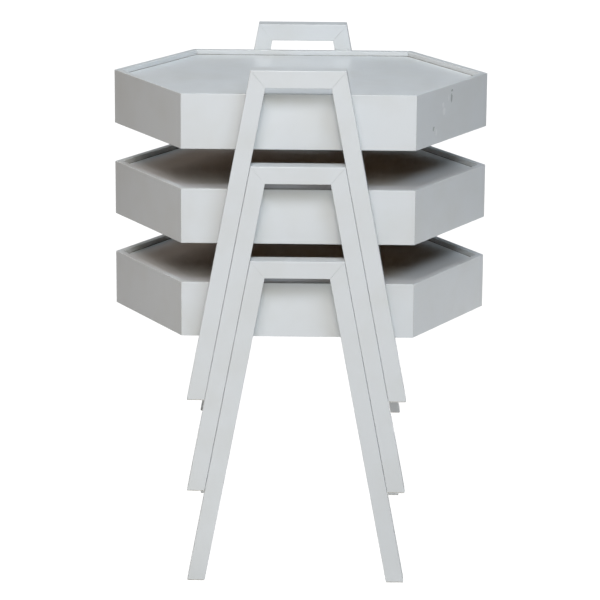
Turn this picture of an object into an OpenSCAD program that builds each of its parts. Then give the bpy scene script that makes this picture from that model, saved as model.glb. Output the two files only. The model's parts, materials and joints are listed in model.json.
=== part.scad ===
// Three nesting tray tables, stacked one in another.
//
// Each table is a six-sided tray of mitred rails with a sunken floor panel, carried
// between two frames. A frame is a carrying bar mitred to two splayed legs, so it is
// wider at the floor than at the top, and the legs of an upper table slide down
// astride the frame below until their inner faces meet its outer faces.
//
// Millimetres. The origin is on the floor in the middle of the footprint, +Z is up,
// +X runs along the trays' long edges and the front frames stand on the -Y side.

/* [Frames] */
// Height of a frame, from the floor to the top of its carrying bar
frame_h = 508; // [470:1:580]
// Outside width of a frame at its top
frame_top_w = 142; // [125:1:165]
// Outside width of a frame at the floor
frame_foot_w = 334; // [310:1:380]
// Width of the frame bars, seen from the front
bar_w = 26.5; // [23:0.5:30]
// Thickness of the frame bars, front to back
bar_d = 30; // [26:0.5:38]
// Radius of the rounded edges along the frame bars
bar_round = 1.2; // [0.5:0.1:3]
// Clearance between the nested legs of two tables
nest_gap = 0.4; // [0.2:0.1:2]

/* [Tray] */
// Length of the front and back edges of a tray
front_edge = 352; // [300:1:420]
// Depth of a tray, from its front face to its back face
tray_depth = 394; // [340:1:450]
// Height of the rails around a tray
rail_h = 84; // [74:1:104]
// Thickness of the rails
rail_t = 10; // [8:0.5:14]
// Radius of the rounded edges along the rails
rail_round = 0.8; // [0.4:0.1:1.5]
// Open height between a tray's rim and the carrying bars, for the fingers
finger_gap = 14.5; // [11:0.5:22]
// Depth of the floor panel below the rim
floor_drop = 7.5; // [5:0.5:12]
// Thickness of the floor panel
panel_t = 9; // [7:0.5:12]
// Thickness of the tongue left around the floor panel by a rebate in its upper face
tongue_t = 5; // [3:0.5:5.5]
// Depth of the groove in the rails that holds the tongue
groove_depth = 4; // [2:0.5:5]
// Clearance around the edges of the floor panel and of its tongue
panel_gap = 0.3; // [0.1:0.1:0.8]
// Clearance above the tongue in its groove
groove_play = 0.2; // [0.1:0.1:0.4]

/* [Glue blocks] */
// Length of a corner block along each of the two rails that it joins
block_leg = 26; // [16:1:34]
// Height of the corner blocks above the rails' lower edges
block_rise = 14; // [6:1:24]

/* [Dowels] */
// Diameter of the dowels through the frames' mitres
dowel_d = 8; // [5:0.5:9]
// Length of a dowel
dowel_len = 20; // [14:1:22]
// Distance between the two dowels of a mitre
dowel_pitch = 14; // [11:0.5:16]
// Spare depth behind each end of a dowel
dowel_spare = 1; // [0.5:0.1:1.5]

/* [Bolts] */
// Thread diameter of the bolts that hold the frames to the trays
bolt_d = 6; // [5:0.5:7]
// Length of a bolt under its head
bolt_len = 25; // [20:1:28]
// Diameter of a bolt head
head_d = 10.5; // [9:0.5:13]
// Height of a bolt head
head_h = 3.3; // [2.5:0.1:5]
// Width across the flats of the hex socket in a bolt head
socket_af = 4; // [3:0.5:5]
// Depth of the hex socket
socket_deep = 2; // [1.2:0.1:2.2]
// Diameter of the washers under the bolt heads
washer_d = 14; // [12:0.5:18]
// Thickness of the washers
washer_t = 1.5; // [1:0.1:2.5]
// Outside diameter of the threaded inserts in the legs
insert_d = 10; // [9:0.5:12]
// Length of an insert inside its leg
insert_len = 15; // [13:0.5:18]
// Diameter of an insert's flange
flange_d = 14; // [13:0.5:18]
// Thickness of the flange, which holds the leg clear of the rail
flange_t = 1; // [0.6:0.1:2]
// Distance from the rail's lower edge or the floor panel to the nearest bolt
bolt_edge = 17; // [12:0.5:20]
// Radial clearance around a bolt where it passes through a rail
bolt_play = 0.3; // [0.1:0.05:0.6]
// Radial clearance of a glued or screwed-in round piece in its hole
glue_line = 0.05; // [0.03:0.01:0.1]

/* [Foot pads] */
// Thickness of the pads under the feet
foot_pad_t = 1.5; // [1:0.1:4]
// How far the edge of a foot pad is set back from the edge of the foot
foot_pad_inset = 0.5; // [0.2:0.1:3]

/* [Hidden] */
LEVELS = ["bottom", "middle", "top"];
RAILS = [
    "front_rail", "front_right_rail", "back_right_rail",
    "back_rail", "back_left_rail", "front_left_rail"
];
PIECES = concat(RAILS, [
    "floor_panel", "corner_blocks",
    "front_carrying_bar", "front_left_leg", "front_right_leg",
    "back_carrying_bar", "back_left_leg", "back_right_leg",
    "mitre_dowels", "frame_bolts", "bolt_washers", "threaded_inserts", "foot_pads"
]);
NODES = [for (level = LEVELS) for (piece = PIECES) str(level, "_", piece)];
node = "all";

$fn = 48;
paint = [0.86, 0.88, 0.89];
raw_board = [0.62, 0.49, 0.36];
raw_wood = [0.80, 0.66, 0.47];
steel = [0.66, 0.67, 0.69];
zinc = [0.78, 0.74, 0.62];
nylon = [0.80, 0.80, 0.78];

// How far a cutting shape runs past the piece that it cuts
spare = 3;
front = -1;
back = 1;
left = -1;
right = 1;
// Interior angle at every corner of a tray
corner_angle = 120;
// Sideways run of a mitre for each millimetre of rail thickness
mitre_run = 1 / tan(corner_angle / 2);

// Frame: how a leg leans, and its width along a level line
slope = (frame_foot_w - frame_top_w) / 2 / frame_h;
lean = atan(slope);
leg_run = bar_w / cos(lean);
function outer_x(z) = frame_foot_w / 2 - slope * z;
function inner_x(z) = outer_x(z) - leg_run;
function centre_x(z) = outer_x(z) - leg_run / 2;

// Mitre between the carrying bar and a leg, in the plane of the frame
bar_under = frame_h - bar_w;
mitre_out = [frame_top_w / 2, frame_h];
mitre_in = [inner_x(bar_under), bar_under];
mitre_mid = (mitre_out + mitre_in) / 2;
mitre_dir = (mitre_out - mitre_in) / norm(mitre_out - mitre_in);
mitre_angle = atan2(mitre_dir.y, mitre_dir.x);

// Heights of the tray
rim_z = bar_under - finger_gap;
rail_z = rim_z - rail_h;
panel_z = rim_z - floor_drop - panel_t;
bolt_rows = [rail_z + bolt_edge, panel_z - bolt_edge];

// Depths of the frames, measured outwards from the middle of the table
rail_face_y = tray_depth / 2;
leg_back_y = rail_face_y + flange_t;
leg_mid_y = leg_back_y + bar_d / 2;
leg_front_y = leg_back_y + bar_d;

// Rise from one nested table to the next
nest_rise = (bar_w + nest_gap) / sin(lean);

// Corners of the tray's outline, moved inwards by inset
function tray_corners(inset) =
    let (
        half_depth = tray_depth / 2 - inset,
        half_edge = front_edge / 2 - inset * mitre_run,
        half_length = half_edge + half_depth * mitre_run
    )
    [
        [-half_edge, -half_depth], [half_edge, -half_depth], [half_length, 0],
        [half_edge, half_depth], [-half_edge, half_depth], [-half_length, 0]
    ];
function corner(inset, i) = tray_corners(inset)[(i + 6) % 6];
function unit(v) = v / norm(v);

// Rectangle w by h about its middle, with its four corners rounded
module rounded_rectangle(w, h, r) {
    square([w - 2 * r, h], center = true);
    square([w, h - 2 * r], center = true);
    for (x = [r - w / 2, w / 2 - r])
        for (y = [r - h / 2, h / 2 - r])
            translate([x, y])
                circle(r);
}

// Section of a rail: x is the distance in from its outer face, y the height in it
module rail_section() {
    difference() {
        translate([rail_t / 2, rail_h / 2])
            rounded_rectangle(rail_t, rail_h, rail_round);
        translate([rail_t - groove_depth, panel_z - rail_z])
            square([groove_depth + spare, tongue_t + groove_play]);
    }
}

// A plane figure in x and height, given depth outwards from the frame's back face
module upright_plate() {
    translate([0, leg_front_y + spare, 0])
        rotate([90, 0, 0])
            linear_extrude(bar_d + 2 * spare)
                children();
}

// Places its children at a frame: drawn for the back, mirrored for the front
module on_side(side) {
    mirror([0, side == front ? 1 : 0, 0])
        children();
}

// Places its children at a leg: drawn for the right, mirrored for the left
module on_hand(hand) {
    mirror([hand == left ? 1 : 0, 0, 0])
        children();
}

// Raises its children to their place in the stack
module on_level(level) {
    translate([0, 0, level * nest_rise])
        children();
}

// Stands its children on a tray's rail at each bolt of one leg. There z = 0 is the
// rail's inner face and +z runs out through the rail into the leg.
module at_leg_bolts() {
    for (z = bolt_rows)
        translate([centre_x(z), rail_face_y - rail_t, z])
            rotate([-90, 0, 0])
                children();
}

// The same at all four legs of a table
module at_all_bolts() {
    for (side = [front, back])
        for (hand = [left, right])
            on_side(side) on_hand(hand) at_leg_bolts() children();
}

// The two dowels across one mitre, thicker by play all round and longer by extra
module mitre_dowel_pair(play, extra) {
    for (step = [-dowel_pitch / 2, dowel_pitch / 2])
        translate([mitre_mid.x, leg_mid_y + step, mitre_mid.y])
            rotate([0, 180 - mitre_angle, 0])
                cylinder(d = dowel_d + 2 * play, h = dowel_len + 2 * extra, center = true);
}

// One rail: a grooved board, cut off at both ends along the mitre planes
module rail(i) {
    start = corner(0, i);
    run = corner(0, i + 1) - start;
    heading = atan2(run.y, run.x);
    color(paint)
        difference() {
            intersection() {
                translate([start.x, start.y, rail_z])
                    rotate([90, 0, 90 + heading])
                        translate([0, 0, -spare])
                            linear_extrude(norm(run) + 2 * spare)
                                rail_section();
                translate([0, 0, rail_z - spare])
                    linear_extrude(rail_h + 2 * spare)
                        polygon([
                            corner(-spare, i), corner(-spare, i + 1),
                            corner(rail_t + spare, i + 1), corner(rail_t + spare, i)
                        ]);
            }
            if (RAILS[i] == "front_rail" || RAILS[i] == "back_rail")
                at_all_bolts()
                    translate([0, 0, -spare])
                        cylinder(d = bolt_d + 2 * bolt_play, h = rail_t + 2 * spare);
        }
}

// Floor panel, its tongue let into the grooves of all six rails
module floor_panel() {
    color(paint)
        translate([0, 0, panel_z]) {
            linear_extrude(panel_t)
                polygon(tray_corners(rail_t + panel_gap));
            linear_extrude(tongue_t)
                polygon(tray_corners(rail_t - groove_depth + panel_gap));
        }
}

// Glue block in each corner under the floor panel
module corner_blocks() {
    color(raw_wood)
        for (i = [0 : 5]) {
            tip = corner(rail_t, i);
            translate([0, 0, rail_z + block_rise])
                linear_extrude(panel_z - rail_z - block_rise)
                    polygon([
                        tip,
                        tip + block_leg * unit(corner(rail_t, i + 1) - tip),
                        tip + block_leg * unit(corner(rail_t, i - 1) - tip)
                    ]);
        }
}

// Carrying bar across the top of a frame, mitred at both ends
module carrying_bar(side) {
    over = mitre_out + spare * mitre_dir;
    under = mitre_in - spare * mitre_dir;
    color(paint)
        on_side(side)
            difference() {
                intersection() {
                    translate([-frame_top_w / 2 - spare, leg_mid_y, frame_h - bar_w / 2])
                        rotate([90, 0, 90])
                            linear_extrude(frame_top_w + 2 * spare)
                                rounded_rectangle(bar_d, bar_w, bar_round);
                    upright_plate()
                        polygon([[-over.x, over.y], over, under, [-under.x, under.y]]);
                }
                for (hand = [left, right])
                    on_hand(hand) mitre_dowel_pair(glue_line, dowel_spare);
            }
}

// Splayed leg, mitred to the carrying bar and cut off level above its foot pad
module leg(side, hand) {
    over = mitre_out + spare * mitre_dir;
    under = mitre_in - spare * mitre_dir;
    length = frame_h / cos(lean);
    color(paint)
        on_side(side) on_hand(hand)
            difference() {
                intersection() {
                    translate([centre_x(0), leg_mid_y, 0])
                        rotate([0, -lean, 0])
                            translate([0, 0, -bar_w])
                                linear_extrude(length + 2 * bar_w)
                                    rounded_rectangle(bar_w, bar_d, bar_round);
                    upright_plate()
                        polygon([
                            under, over,
                            [outer_x(0) + spare, foot_pad_t],
                            [inner_x(0) - spare, foot_pad_t]
                        ]);
                }
                mitre_dowel_pair(glue_line, dowel_spare);
                at_leg_bolts()
                    translate([0, 0, rail_t])
                        cylinder(
                            d = insert_d + 2 * glue_line,
                            h = flange_t + insert_len + dowel_spare
                        );
            }
}

// Dowels that hold the mitres of both frames
module mitre_dowels() {
    color(raw_wood)
        for (side = [front, back])
            for (hand = [left, right])
                on_side(side) on_hand(hand) mitre_dowel_pair(0, 0);
}

// One button-head bolt, its head towards -z
module bolt() {
    socket_d = socket_af / cos(30);
    difference() {
        union() {
            translate([0, 0, -washer_t])
                cylinder(d = bolt_d, h = bolt_len);
            translate([0, 0, -washer_t - head_h])
                rotate_extrude()
                    polygon([
                        [0, 0], [head_d * 0.28, 0], [head_d * 0.42, head_h * 0.3],
                        [head_d / 2, head_h * 0.8], [head_d / 2, head_h], [0, head_h]
                    ]);
        }
        translate([0, 0, -washer_t - head_h - spare])
            cylinder(d = socket_d, h = socket_deep + spare, $fn = 6);
    }
}

module frame_bolts() {
    color(steel) at_all_bolts() bolt();
}

module bolt_washers() {
    color(steel)
        at_all_bolts()
            translate([0, 0, -washer_t])
                difference() {
                    cylinder(d = washer_d, h = washer_t);
                    translate([0, 0, -spare])
                        cylinder(d = bolt_d + 2 * bolt_play, h = washer_t + 2 * spare);
                }
}

// Inserts screwed into the legs, their flanges between leg and rail
module threaded_inserts() {
    color(zinc)
        at_all_bolts()
            translate([0, 0, rail_t])
                difference() {
                    union() {
                        cylinder(d = flange_d, h = flange_t);
                        cylinder(d = insert_d, h = flange_t + insert_len);
                    }
                    translate([0, 0, -spare])
                        cylinder(d = bolt_d + 2 * glue_line, h = flange_t + insert_len + 2 * spare);
                }
}

// Pads under the feet
module foot_pads() {
    pad_w = leg_run - 2 * foot_pad_inset;
    pad_d = bar_d - 2 * foot_pad_inset;
    color(nylon)
        for (side = [front, back])
            for (hand = [left, right])
                on_side(side) on_hand(hand)
                    translate([
                        inner_x(foot_pad_t) + foot_pad_inset,
                        leg_back_y + foot_pad_inset,
                        0
                    ])
                        cube([pad_w, pad_d, foot_pad_t]);
}

function drawn(level, piece) = node == "all" || node == str(LEVELS[level], "_", piece);

for (level = [0 : len(LEVELS) - 1]) {
    for (i = [0 : len(RAILS) - 1])
        if (drawn(level, RAILS[i])) on_level(level) rail(i);
    if (drawn(level, "floor_panel")) on_level(level) floor_panel();
    if (drawn(level, "corner_blocks")) on_level(level) corner_blocks();
    if (drawn(level, "front_carrying_bar")) on_level(level) carrying_bar(front);
    if (drawn(level, "front_left_leg")) on_level(level) leg(front, left);
    if (drawn(level, "front_right_leg")) on_level(level) leg(front, right);
    if (drawn(level, "back_carrying_bar")) on_level(level) carrying_bar(back);
    if (drawn(level, "back_left_leg")) on_level(level) leg(back, left);
    if (drawn(level, "back_right_leg")) on_level(level) leg(back, right);
    if (drawn(level, "mitre_dowels")) on_level(level) mitre_dowels();
    if (drawn(level, "frame_bolts")) on_level(level) frame_bolts();
    if (drawn(level, "bolt_washers")) on_level(level) bolt_washers();
    if (drawn(level, "threaded_inserts")) on_level(level) threaded_inserts();
    if (drawn(level, "foot_pads")) on_level(level) foot_pads();
}
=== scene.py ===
# %% [markdown]
# # Three nesting tray tables in white lacquer
# Three six-sided tray tables stand one in another. Each is a tray of mitred rails with a
# sunken floor, carried by a mitred frame at the front and one at the back. The solids come
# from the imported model, which gives every size and place; this lesson gives the pieces
# their finish, their fine edges and their small fittings, then lights them.

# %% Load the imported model
import json
import math
import random

import bmesh
import bpy
from mathutils import Matrix, Vector


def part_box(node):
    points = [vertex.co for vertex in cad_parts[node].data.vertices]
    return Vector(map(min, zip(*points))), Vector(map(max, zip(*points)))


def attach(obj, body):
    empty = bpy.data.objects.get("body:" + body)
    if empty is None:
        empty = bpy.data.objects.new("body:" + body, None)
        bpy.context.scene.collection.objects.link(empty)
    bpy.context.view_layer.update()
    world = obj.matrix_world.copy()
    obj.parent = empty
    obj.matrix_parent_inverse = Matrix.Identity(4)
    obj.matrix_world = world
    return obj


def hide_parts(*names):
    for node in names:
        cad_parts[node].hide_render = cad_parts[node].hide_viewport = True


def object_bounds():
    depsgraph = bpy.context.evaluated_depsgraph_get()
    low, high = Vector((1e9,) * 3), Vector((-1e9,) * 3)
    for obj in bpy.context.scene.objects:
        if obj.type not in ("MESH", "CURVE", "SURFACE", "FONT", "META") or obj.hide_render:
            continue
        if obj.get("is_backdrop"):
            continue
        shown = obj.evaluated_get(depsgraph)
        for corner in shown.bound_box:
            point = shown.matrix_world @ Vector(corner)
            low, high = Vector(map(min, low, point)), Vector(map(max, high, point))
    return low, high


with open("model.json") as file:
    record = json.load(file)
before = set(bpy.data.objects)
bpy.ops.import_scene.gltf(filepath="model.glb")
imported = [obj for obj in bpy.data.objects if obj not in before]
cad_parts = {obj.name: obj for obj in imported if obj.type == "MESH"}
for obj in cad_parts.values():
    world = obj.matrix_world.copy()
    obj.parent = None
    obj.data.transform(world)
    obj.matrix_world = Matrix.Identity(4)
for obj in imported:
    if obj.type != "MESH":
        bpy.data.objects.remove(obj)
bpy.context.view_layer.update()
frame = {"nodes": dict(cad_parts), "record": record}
MM = 0.001
LEVELS = ("bottom", "middle", "top")
body_of_node = {
    node: body
    for body, nodes in frame["record"]["behaviour"]["bodies"].items()
    for node in nodes
}

# %% [markdown]
# ## The camera
# A long lens from about four metres keeps the uprights nearly parallel, as in furniture
# catalogues. The camera could be aimed with a Track To constraint, but three turns multiplied
# together say exactly how it stands: turned aside, tipped down, and rolled a little.

# %% Camera
LENS_MM = 175.518
FARTHEST = 60
camera_place = Vector((0.06373, -4.48671, 1.55844))
turned, tipped, rolled = -0.01392, 0.25485, 0.00697

camera_data = bpy.data.cameras.new("camera")
camera_data.lens = LENS_MM
camera_data.clip_end = FARTHEST
camera = bpy.data.objects.new("camera", camera_data)
camera.matrix_world = (
    Matrix.Translation(camera_place)
    @ Matrix.Rotation(-turned, 4, "Z")
    @ Matrix.Rotation(math.pi / 2 - tipped, 4, "X")
    @ Matrix.Rotation(rolled, 4, "Z"))
bpy.context.scene.collection.objects.link(camera)
bpy.context.scene.camera = camera
print("camera stands this far off, in metres:", round(camera_place.xy.length, 2))

# %% [markdown]
# ## Helpers for every finish
# Colours are picked as sRGB hex codes, and shaders want linear values, so one function
# turns them. Every tree of nodes also gets a small function of its own, called put, that adds
# any node with its settings and its links. It keeps each material readable as a list of what
# it is made of.

# %% Colour and node helpers
MATH, NOISE = "ShaderNodeMath", "ShaderNodeTexNoise"


def linear(code):
    """An sRGB hex code as the linear RGBA that shaders use."""
    parts = [int(code[i:i + 2], 16) / 255 for i in (1, 3, 5)]
    return (*[p / 12.92 if p <= 0.04045 else ((p + 0.055) / 1.055) ** 2.4 for p in parts], 1)


def feed(node, inputs):
    """Sets a node's inputs to values, to outputs, or to nodes, whose first output in use counts."""
    for key, value in inputs.items():
        if isinstance(value, bpy.types.Node):
            value = next(output for output in value.outputs if output.enabled)
        if isinstance(value, bpy.types.NodeSocket):
            node.id_data.links.new(value, node.inputs[key])
        else:
            node.inputs[key].default_value = value


def node_adder(tree):
    """The function that adds a node to this tree, with its settings, and inputs by name or number."""
    def put(kind, inputs=None, **settings):
        node = tree.nodes.new(kind)
        for name, value in settings.items():
            setattr(node, name, value)
        feed(node, inputs or {})
        return node
    return put


def new_finish(name, shader="ShaderNodeBsdfPrincipled"):
    """A material, the function that adds its nodes, and its shader, ready to be fed."""
    material = bpy.data.materials.new(name)
    material.use_nodes = True
    material.node_tree.nodes.clear()
    put = node_adder(material.node_tree)
    skin = put(shader)
    put("ShaderNodeOutputMaterial", {"Surface": skin})
    return material, put, skin


def per_mm(size_mm):
    """Texture scale, in repeats to a metre, of a pattern whose features are size_mm apart."""
    return 1 / (size_mm * MM)


def features(place, size_mm, detail, **more):
    """Inputs of a noise whose features are size_mm apart."""
    return {"Vector": place, "Scale": per_mm(size_mm), "Detail": detail, **more}


print("mid grey in linear:", [round(v, 3) for v in linear("#808080")[:3]])

# %% [markdown]
# ## Satin white lacquer
# The tables are sprayed with a cool white satin lacquer. Up close such a coat has a shallow
# ripple, called orange peel, about a millimetre across, and a faint unevenness in tone and
# sheen where hands have rubbed it. A noise texture drives each of these. On the beech frames
# the grain shows through a little, along each stick, so that version reads a stored
# direction; the trays are fibreboard and stay smooth.

# %% Lacquer
LACQUER = "#E3E7E8"
LACQUER_SOILED = "#DADCD8"


def relief(put, place, size_mm, detail, strength, depth_mm, under=None):
    """A surface raised by noise with features of a size and a depth, over another relief."""
    noise = put(NOISE, features(place, size_mm, detail))
    inputs = {"Height": noise, "Strength": strength, "Distance": depth_mm * MM}
    if under is not None:
        inputs["Normal"] = under
    return put("ShaderNodeBump", inputs)


def lacquer(name, over_grain, clean=LACQUER, soiled=LACQUER_SOILED):
    """Sprayed satin lacquer, over bare board or, with over_grain, over solid wood."""
    # It is a pigmented dielectric: IOR 1.5, a soft highlight, no metal.
    material, put, skin = new_finish(name)
    place = put("ShaderNodeTexCoord").outputs["Object"]
    hands = put(NOISE, features(place, 70, 4.0))
    soil = put("ShaderNodeMapRange", {"Value": hands, "From Min": 0.42, "From Max": 0.80, "To Max": 0.55})
    tone = put("ShaderNodeMix", {0: soil, 6: linear(clean), 7: linear(soiled)}, data_type="RGBA")
    rub = put(NOISE, features(place, 24, 5.0))
    sheen = put("ShaderNodeMapRange", {
        "Value": rub, "From Min": 0.3, "From Max": 0.7, "To Min": 0.30, "To Max": 0.40})
    surface = relief(put, place, 1.6, 1.0, strength=0.10, depth_mm=0.02)
    if over_grain:
        along = put("ShaderNodeAttribute", attribute_name="grain").outputs["Vector"]
        drawn_out = put("ShaderNodeMapping", {"Vector": along, "Scale": (0.035, 1.0, 1.0)})
        surface = relief(put, drawn_out, 0.9, 3.0, strength=0.16, depth_mm=0.05, under=surface)
    feed(skin, {"Base Color": tone, "Roughness": sheen, "Normal": surface, "IOR": 1.5})
    return material


lacquer_on_board = lacquer("satin_white_lacquer_on_fibreboard", over_grain=False)
lacquer_on_beech = lacquer("satin_white_lacquer_on_beech", over_grain=True)
# A whiter lacquer is painted into some dents as a painted highlight on their slopes; its soiled tone is
# whiter too.
dent_highlight = lacquer("painted_highlight_in_dents", over_grain=False, clean="#EEF1F1", soiled="#E6E9E8")
print("lacquers:", lacquer_on_board.name, lacquer_on_beech.name, dent_highlight.name)

# %% [markdown]
# ## Raw fibreboard
# Under the trays nothing is sprayed, so the medium-density fibreboard shows: pressed wood
# fibre, warm brown, dead matt, flecked with darker shives. On the inner face of the rails
# some white overspray drifts up from the lower edge. A stored height on each rail says how
# far up a point is, and a noise breaks up the edge of the mist.

# %% Fibreboard
# Pressed fibre has no sheen to speak of: roughness near 0.9.
raw_board, put, skin = new_finish("raw_medium_density_fibreboard")
place = put("ShaderNodeTexCoord").outputs["Object"]
cloud = put(NOISE, features(place, 9, 6.0))
base = put("ShaderNodeMix", {0: cloud, 6: linear("#6E4E31"), 7: linear("#886743")}, data_type="RGBA")
shives = put("ShaderNodeTexVoronoi", {"Vector": place, "Scale": per_mm(2.2)})
fleck = put("ShaderNodeMapRange", {
    "Value": shives, "From Min": 0.10, "From Max": 0.22, "To Min": 0.55, "To Max": 0.0})
flecked = put("ShaderNodeMix", {0: fleck, 6: base, 7: linear("#4B3420")}, data_type="RGBA")
height = put("ShaderNodeAttribute", attribute_name="height").outputs["Fac"]
drift = put(NOISE, features(place, 6, 5.0))
reach = put(MATH, {0: drift, 1: 22 * MM}, operation="MULTIPLY")
mist = put(MATH, {0: reach, 1: height}, operation="SUBTRACT")
misted = put("ShaderNodeMapRange", {
    "Value": mist, "From Min": -3 * MM, "From Max": 8 * MM, "To Max": 0.9})
colour = put("ShaderNodeMix", {0: misted, 6: flecked, 7: linear(LACQUER)}, data_type="RGBA")
fibre = relief(put, place, 0.7, 4.0, strength=0.5, depth_mm=0.08)
feed(skin, {"Base Color": colour, "Roughness": 0.9, "Normal": fibre, "IOR": 1.45})
print("board:", raw_board.name)

# %% [markdown]
# ## Softwood and beech
# The glue blocks are sawn softwood: pale, with yearly rings a few millimetres apart. The
# dowels are beech, fine and pinkish with short dark rays. Both read the stored grain
# direction, so the figure runs along each piece, and a wave texture bent by noise draws it.

# %% Woods
# The wave texture goes through its phase twenty times as fast as its scale says.
WAVE_PHASE = 20


def timber(name, light, dark, ring_mm, ray_mm):
    """Bare wood whose rings are ring_mm apart, flecked by rays ray_mm apart."""
    material, put, skin = new_finish(name)
    along = put("ShaderNodeAttribute", attribute_name="grain").outputs["Vector"]
    drawn_out = put("ShaderNodeMapping", {"Vector": along, "Scale": (0.08, 1.0, 1.0)})
    rings = put("ShaderNodeTexWave", {
        "Vector": drawn_out, "Scale": per_mm(ring_mm) / WAVE_PHASE, "Distortion": 3.5,
        "Detail": 3.0, "Detail Scale": 1.6}, bands_direction="DIAGONAL").outputs["Fac"]
    figure = put("ShaderNodeMix", {0: rings, 6: linear(light), 7: linear(dark)}, data_type="RGBA")
    rays = put(NOISE, features(drawn_out, ray_mm, 4.0))
    ray = put("ShaderNodeMapRange", {"Value": rays, "From Min": 0.55, "From Max": 0.75, "To Max": 0.5})
    colour = put("ShaderNodeMix", {0: ray, 6: figure, 7: linear(dark)}, data_type="RGBA")
    sawn = put("ShaderNodeBump", {"Height": rays, "Strength": 0.45, "Distance": 0.08 * MM})
    feed(skin, {"Base Color": colour, "Roughness": 0.72, "Normal": sawn})
    return material


softwood = timber("sawn_softwood", "#D8BC8C", "#B4905C", ring_mm=3.5, ray_mm=0.8)
beech = timber("beech", "#D6B48C", "#B88E66", ring_mm=1.6, ray_mm=0.5)
print("woods:", softwood.name, beech.name)

# %% [markdown]
# ## Plated steel and zinc
# Bolts and washers are steel with a thin bright zinc plating, a little blue and never quite
# mirror-like. The inserts are die-cast zinc with a yellowish passivation. Both are metals, so
# the base colour is the reflection's own colour; noise clouds the roughness as handling does.

# %% Metals
def plated(name, bright, dull, rough_low, rough_high):
    """A plated metal whose tone and roughness drift between two values."""
    material, put, skin = new_finish(name)
    place = put("ShaderNodeTexCoord").outputs["Object"]
    cloud = put(NOISE, features(place, 3, 5.0))
    tone = put("ShaderNodeMix", {0: cloud, 6: linear(bright), 7: linear(dull)}, data_type="RGBA")
    worn = put("ShaderNodeMapRange", {
        "Value": cloud, "From Min": 0.3, "From Max": 0.7, "To Min": rough_low, "To Max": rough_high})
    grit = relief(put, place, 0.4, 2.0, strength=0.25, depth_mm=0.01)
    feed(skin, {"Base Color": tone, "Metallic": 1.0, "Roughness": worn, "Normal": grit})
    return material


bright_zinc = plated("bright_zinc_plated_steel", "#CDD1D6", "#A4A9AF", 0.24, 0.42)
cast_zinc = plated("yellow_passivated_cast_zinc", "#CDBB84", "#A8935C", 0.32, 0.5)
print("metals:", bright_zinc.name, cast_zinc.name)

# %% [markdown]
# ## Nylon
# The foot pads are moulded white nylon. It is a slightly creamy plastic with a fine spark
# texture from the mould, and the floor scuffs it grey in patches.

# %% Nylon
nylon, put, skin = new_finish("moulded_white_nylon")
place = put("ShaderNodeTexCoord").outputs["Object"]
scuffs = put(NOISE, features(place, 5, 8.0, Distortion=1.5))
scuffed = put("ShaderNodeMapRange", {"Value": scuffs, "From Min": 0.5, "From Max": 0.75, "To Max": 0.7})
tone = put("ShaderNodeMix", {0: scuffed, 6: linear("#E2E0D8"), 7: linear("#A8A59C")}, data_type="RGBA")
spark = relief(put, place, 0.35, 2.0, strength=0.4, depth_mm=0.03)
feed(skin, {"Base Color": tone, "Roughness": 0.5, "Normal": spark, "IOR": 1.53})
print("plastic:", nylon.name)

# %% [markdown]
# ## Painted dent shade, glue and dust
# Three more finishes are mere films or crumbs: a grey painted into dents as their painted shade,
# white wood glue that dried to a yellowish skin, and dust in a joint. All any of them shows is a
# tone that clouds in patches and a gloss of its own, so one function makes all three.

# %% Films and crumbs
def mottled(name, light, dark, patch_mm, detail, roughness, ior):
    """A film whose tone clouds from light to dark in patches."""
    material, put, skin = new_finish(name)
    place = put("ShaderNodeTexCoord").outputs["Object"]
    cloud = put(NOISE, features(place, patch_mm, detail))
    tone = put("ShaderNodeMix", {0: cloud, 6: linear(light), 7: linear(dark)}, data_type="RGBA")
    feed(skin, {"Base Color": tone, "Roughness": roughness, "IOR": ior})
    return material


# The dents' painted shade is a dull grey, glue is half clear with a dull gloss, dust has none.
dent_shade = mottled("painted_shade_in_dents", "#9DA2A1", "#C3C7C5", 1.5, 3.0, roughness=0.7, ior=1.5)
dried_glue = mottled("dried_wood_glue", "#DDD2B4", "#B79F72", 4, 3.0, roughness=0.38, ior=1.47)
settled_dust = mottled("settled_dust", "#5E5A55", "#8B8780", 15, 4.0, roughness=1.0, ior=1.4)
print("films:", dent_shade.name, dried_glue.name, settled_dust.name)

# %% [markdown]
# ## From loose triangles to a clean piece
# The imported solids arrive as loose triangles. To work on a piece, its mesh is copied, its
# doubled corners are merged and its flat faces are made whole. Smooth shading with weighted
# normals then keeps the flats dead flat and lets the rounded arrises roll, which a plain
# smooth shade would smear.

# %% Mesh helpers
DOUBLED = 0.003 * MM
SAME_PLANE = math.radians(0.1)


def clean_copy(node):
    """The node's mesh as a closed bmesh with whole flat faces."""
    work = bmesh.new()
    work.from_mesh(frame["nodes"][node].data)
    bmesh.ops.remove_doubles(work, verts=work.verts, dist=DOUBLED)
    bmesh.ops.dissolve_limit(work, angle_limit=SAME_PLANE, verts=work.verts, edges=work.edges)
    return work


def as_mesh(work, name):
    """A bmesh as a mesh; the bmesh is used up."""
    mesh = bpy.data.meshes.new(name)
    work.to_mesh(mesh)
    work.free()
    return mesh


def store(mesh, name, kind, values):
    """Stores one value for each vertex, for a material or a tree to read."""
    layer = mesh.attributes.new(name, kind, "POINT")
    layer.data.foreach_set("vector" if kind == "FLOAT_VECTOR" else "value", values)


def bevel(work, edges, width, segments=1):
    """Chamfers edges, or rounds them where there are more segments."""
    bmesh.ops.bevel(
        work, geom=edges, offset=width, offset_type="OFFSET", segments=segments,
        profile=0.5, affect="EDGES", clamp_overlap=True)


work = clean_copy("top_front_right_leg")
print("a leg has whole faces:", len(work.faces))
work.free()

# %% [markdown]
# ## From a mesh to a piece that rides
# A piece is an object at the origin, with its place in its mesh. Its modifiers are worked
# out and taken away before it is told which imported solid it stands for, because a live one
# could change the shape once the tables move.

# %% Piece helpers
CREASE = 32


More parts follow.
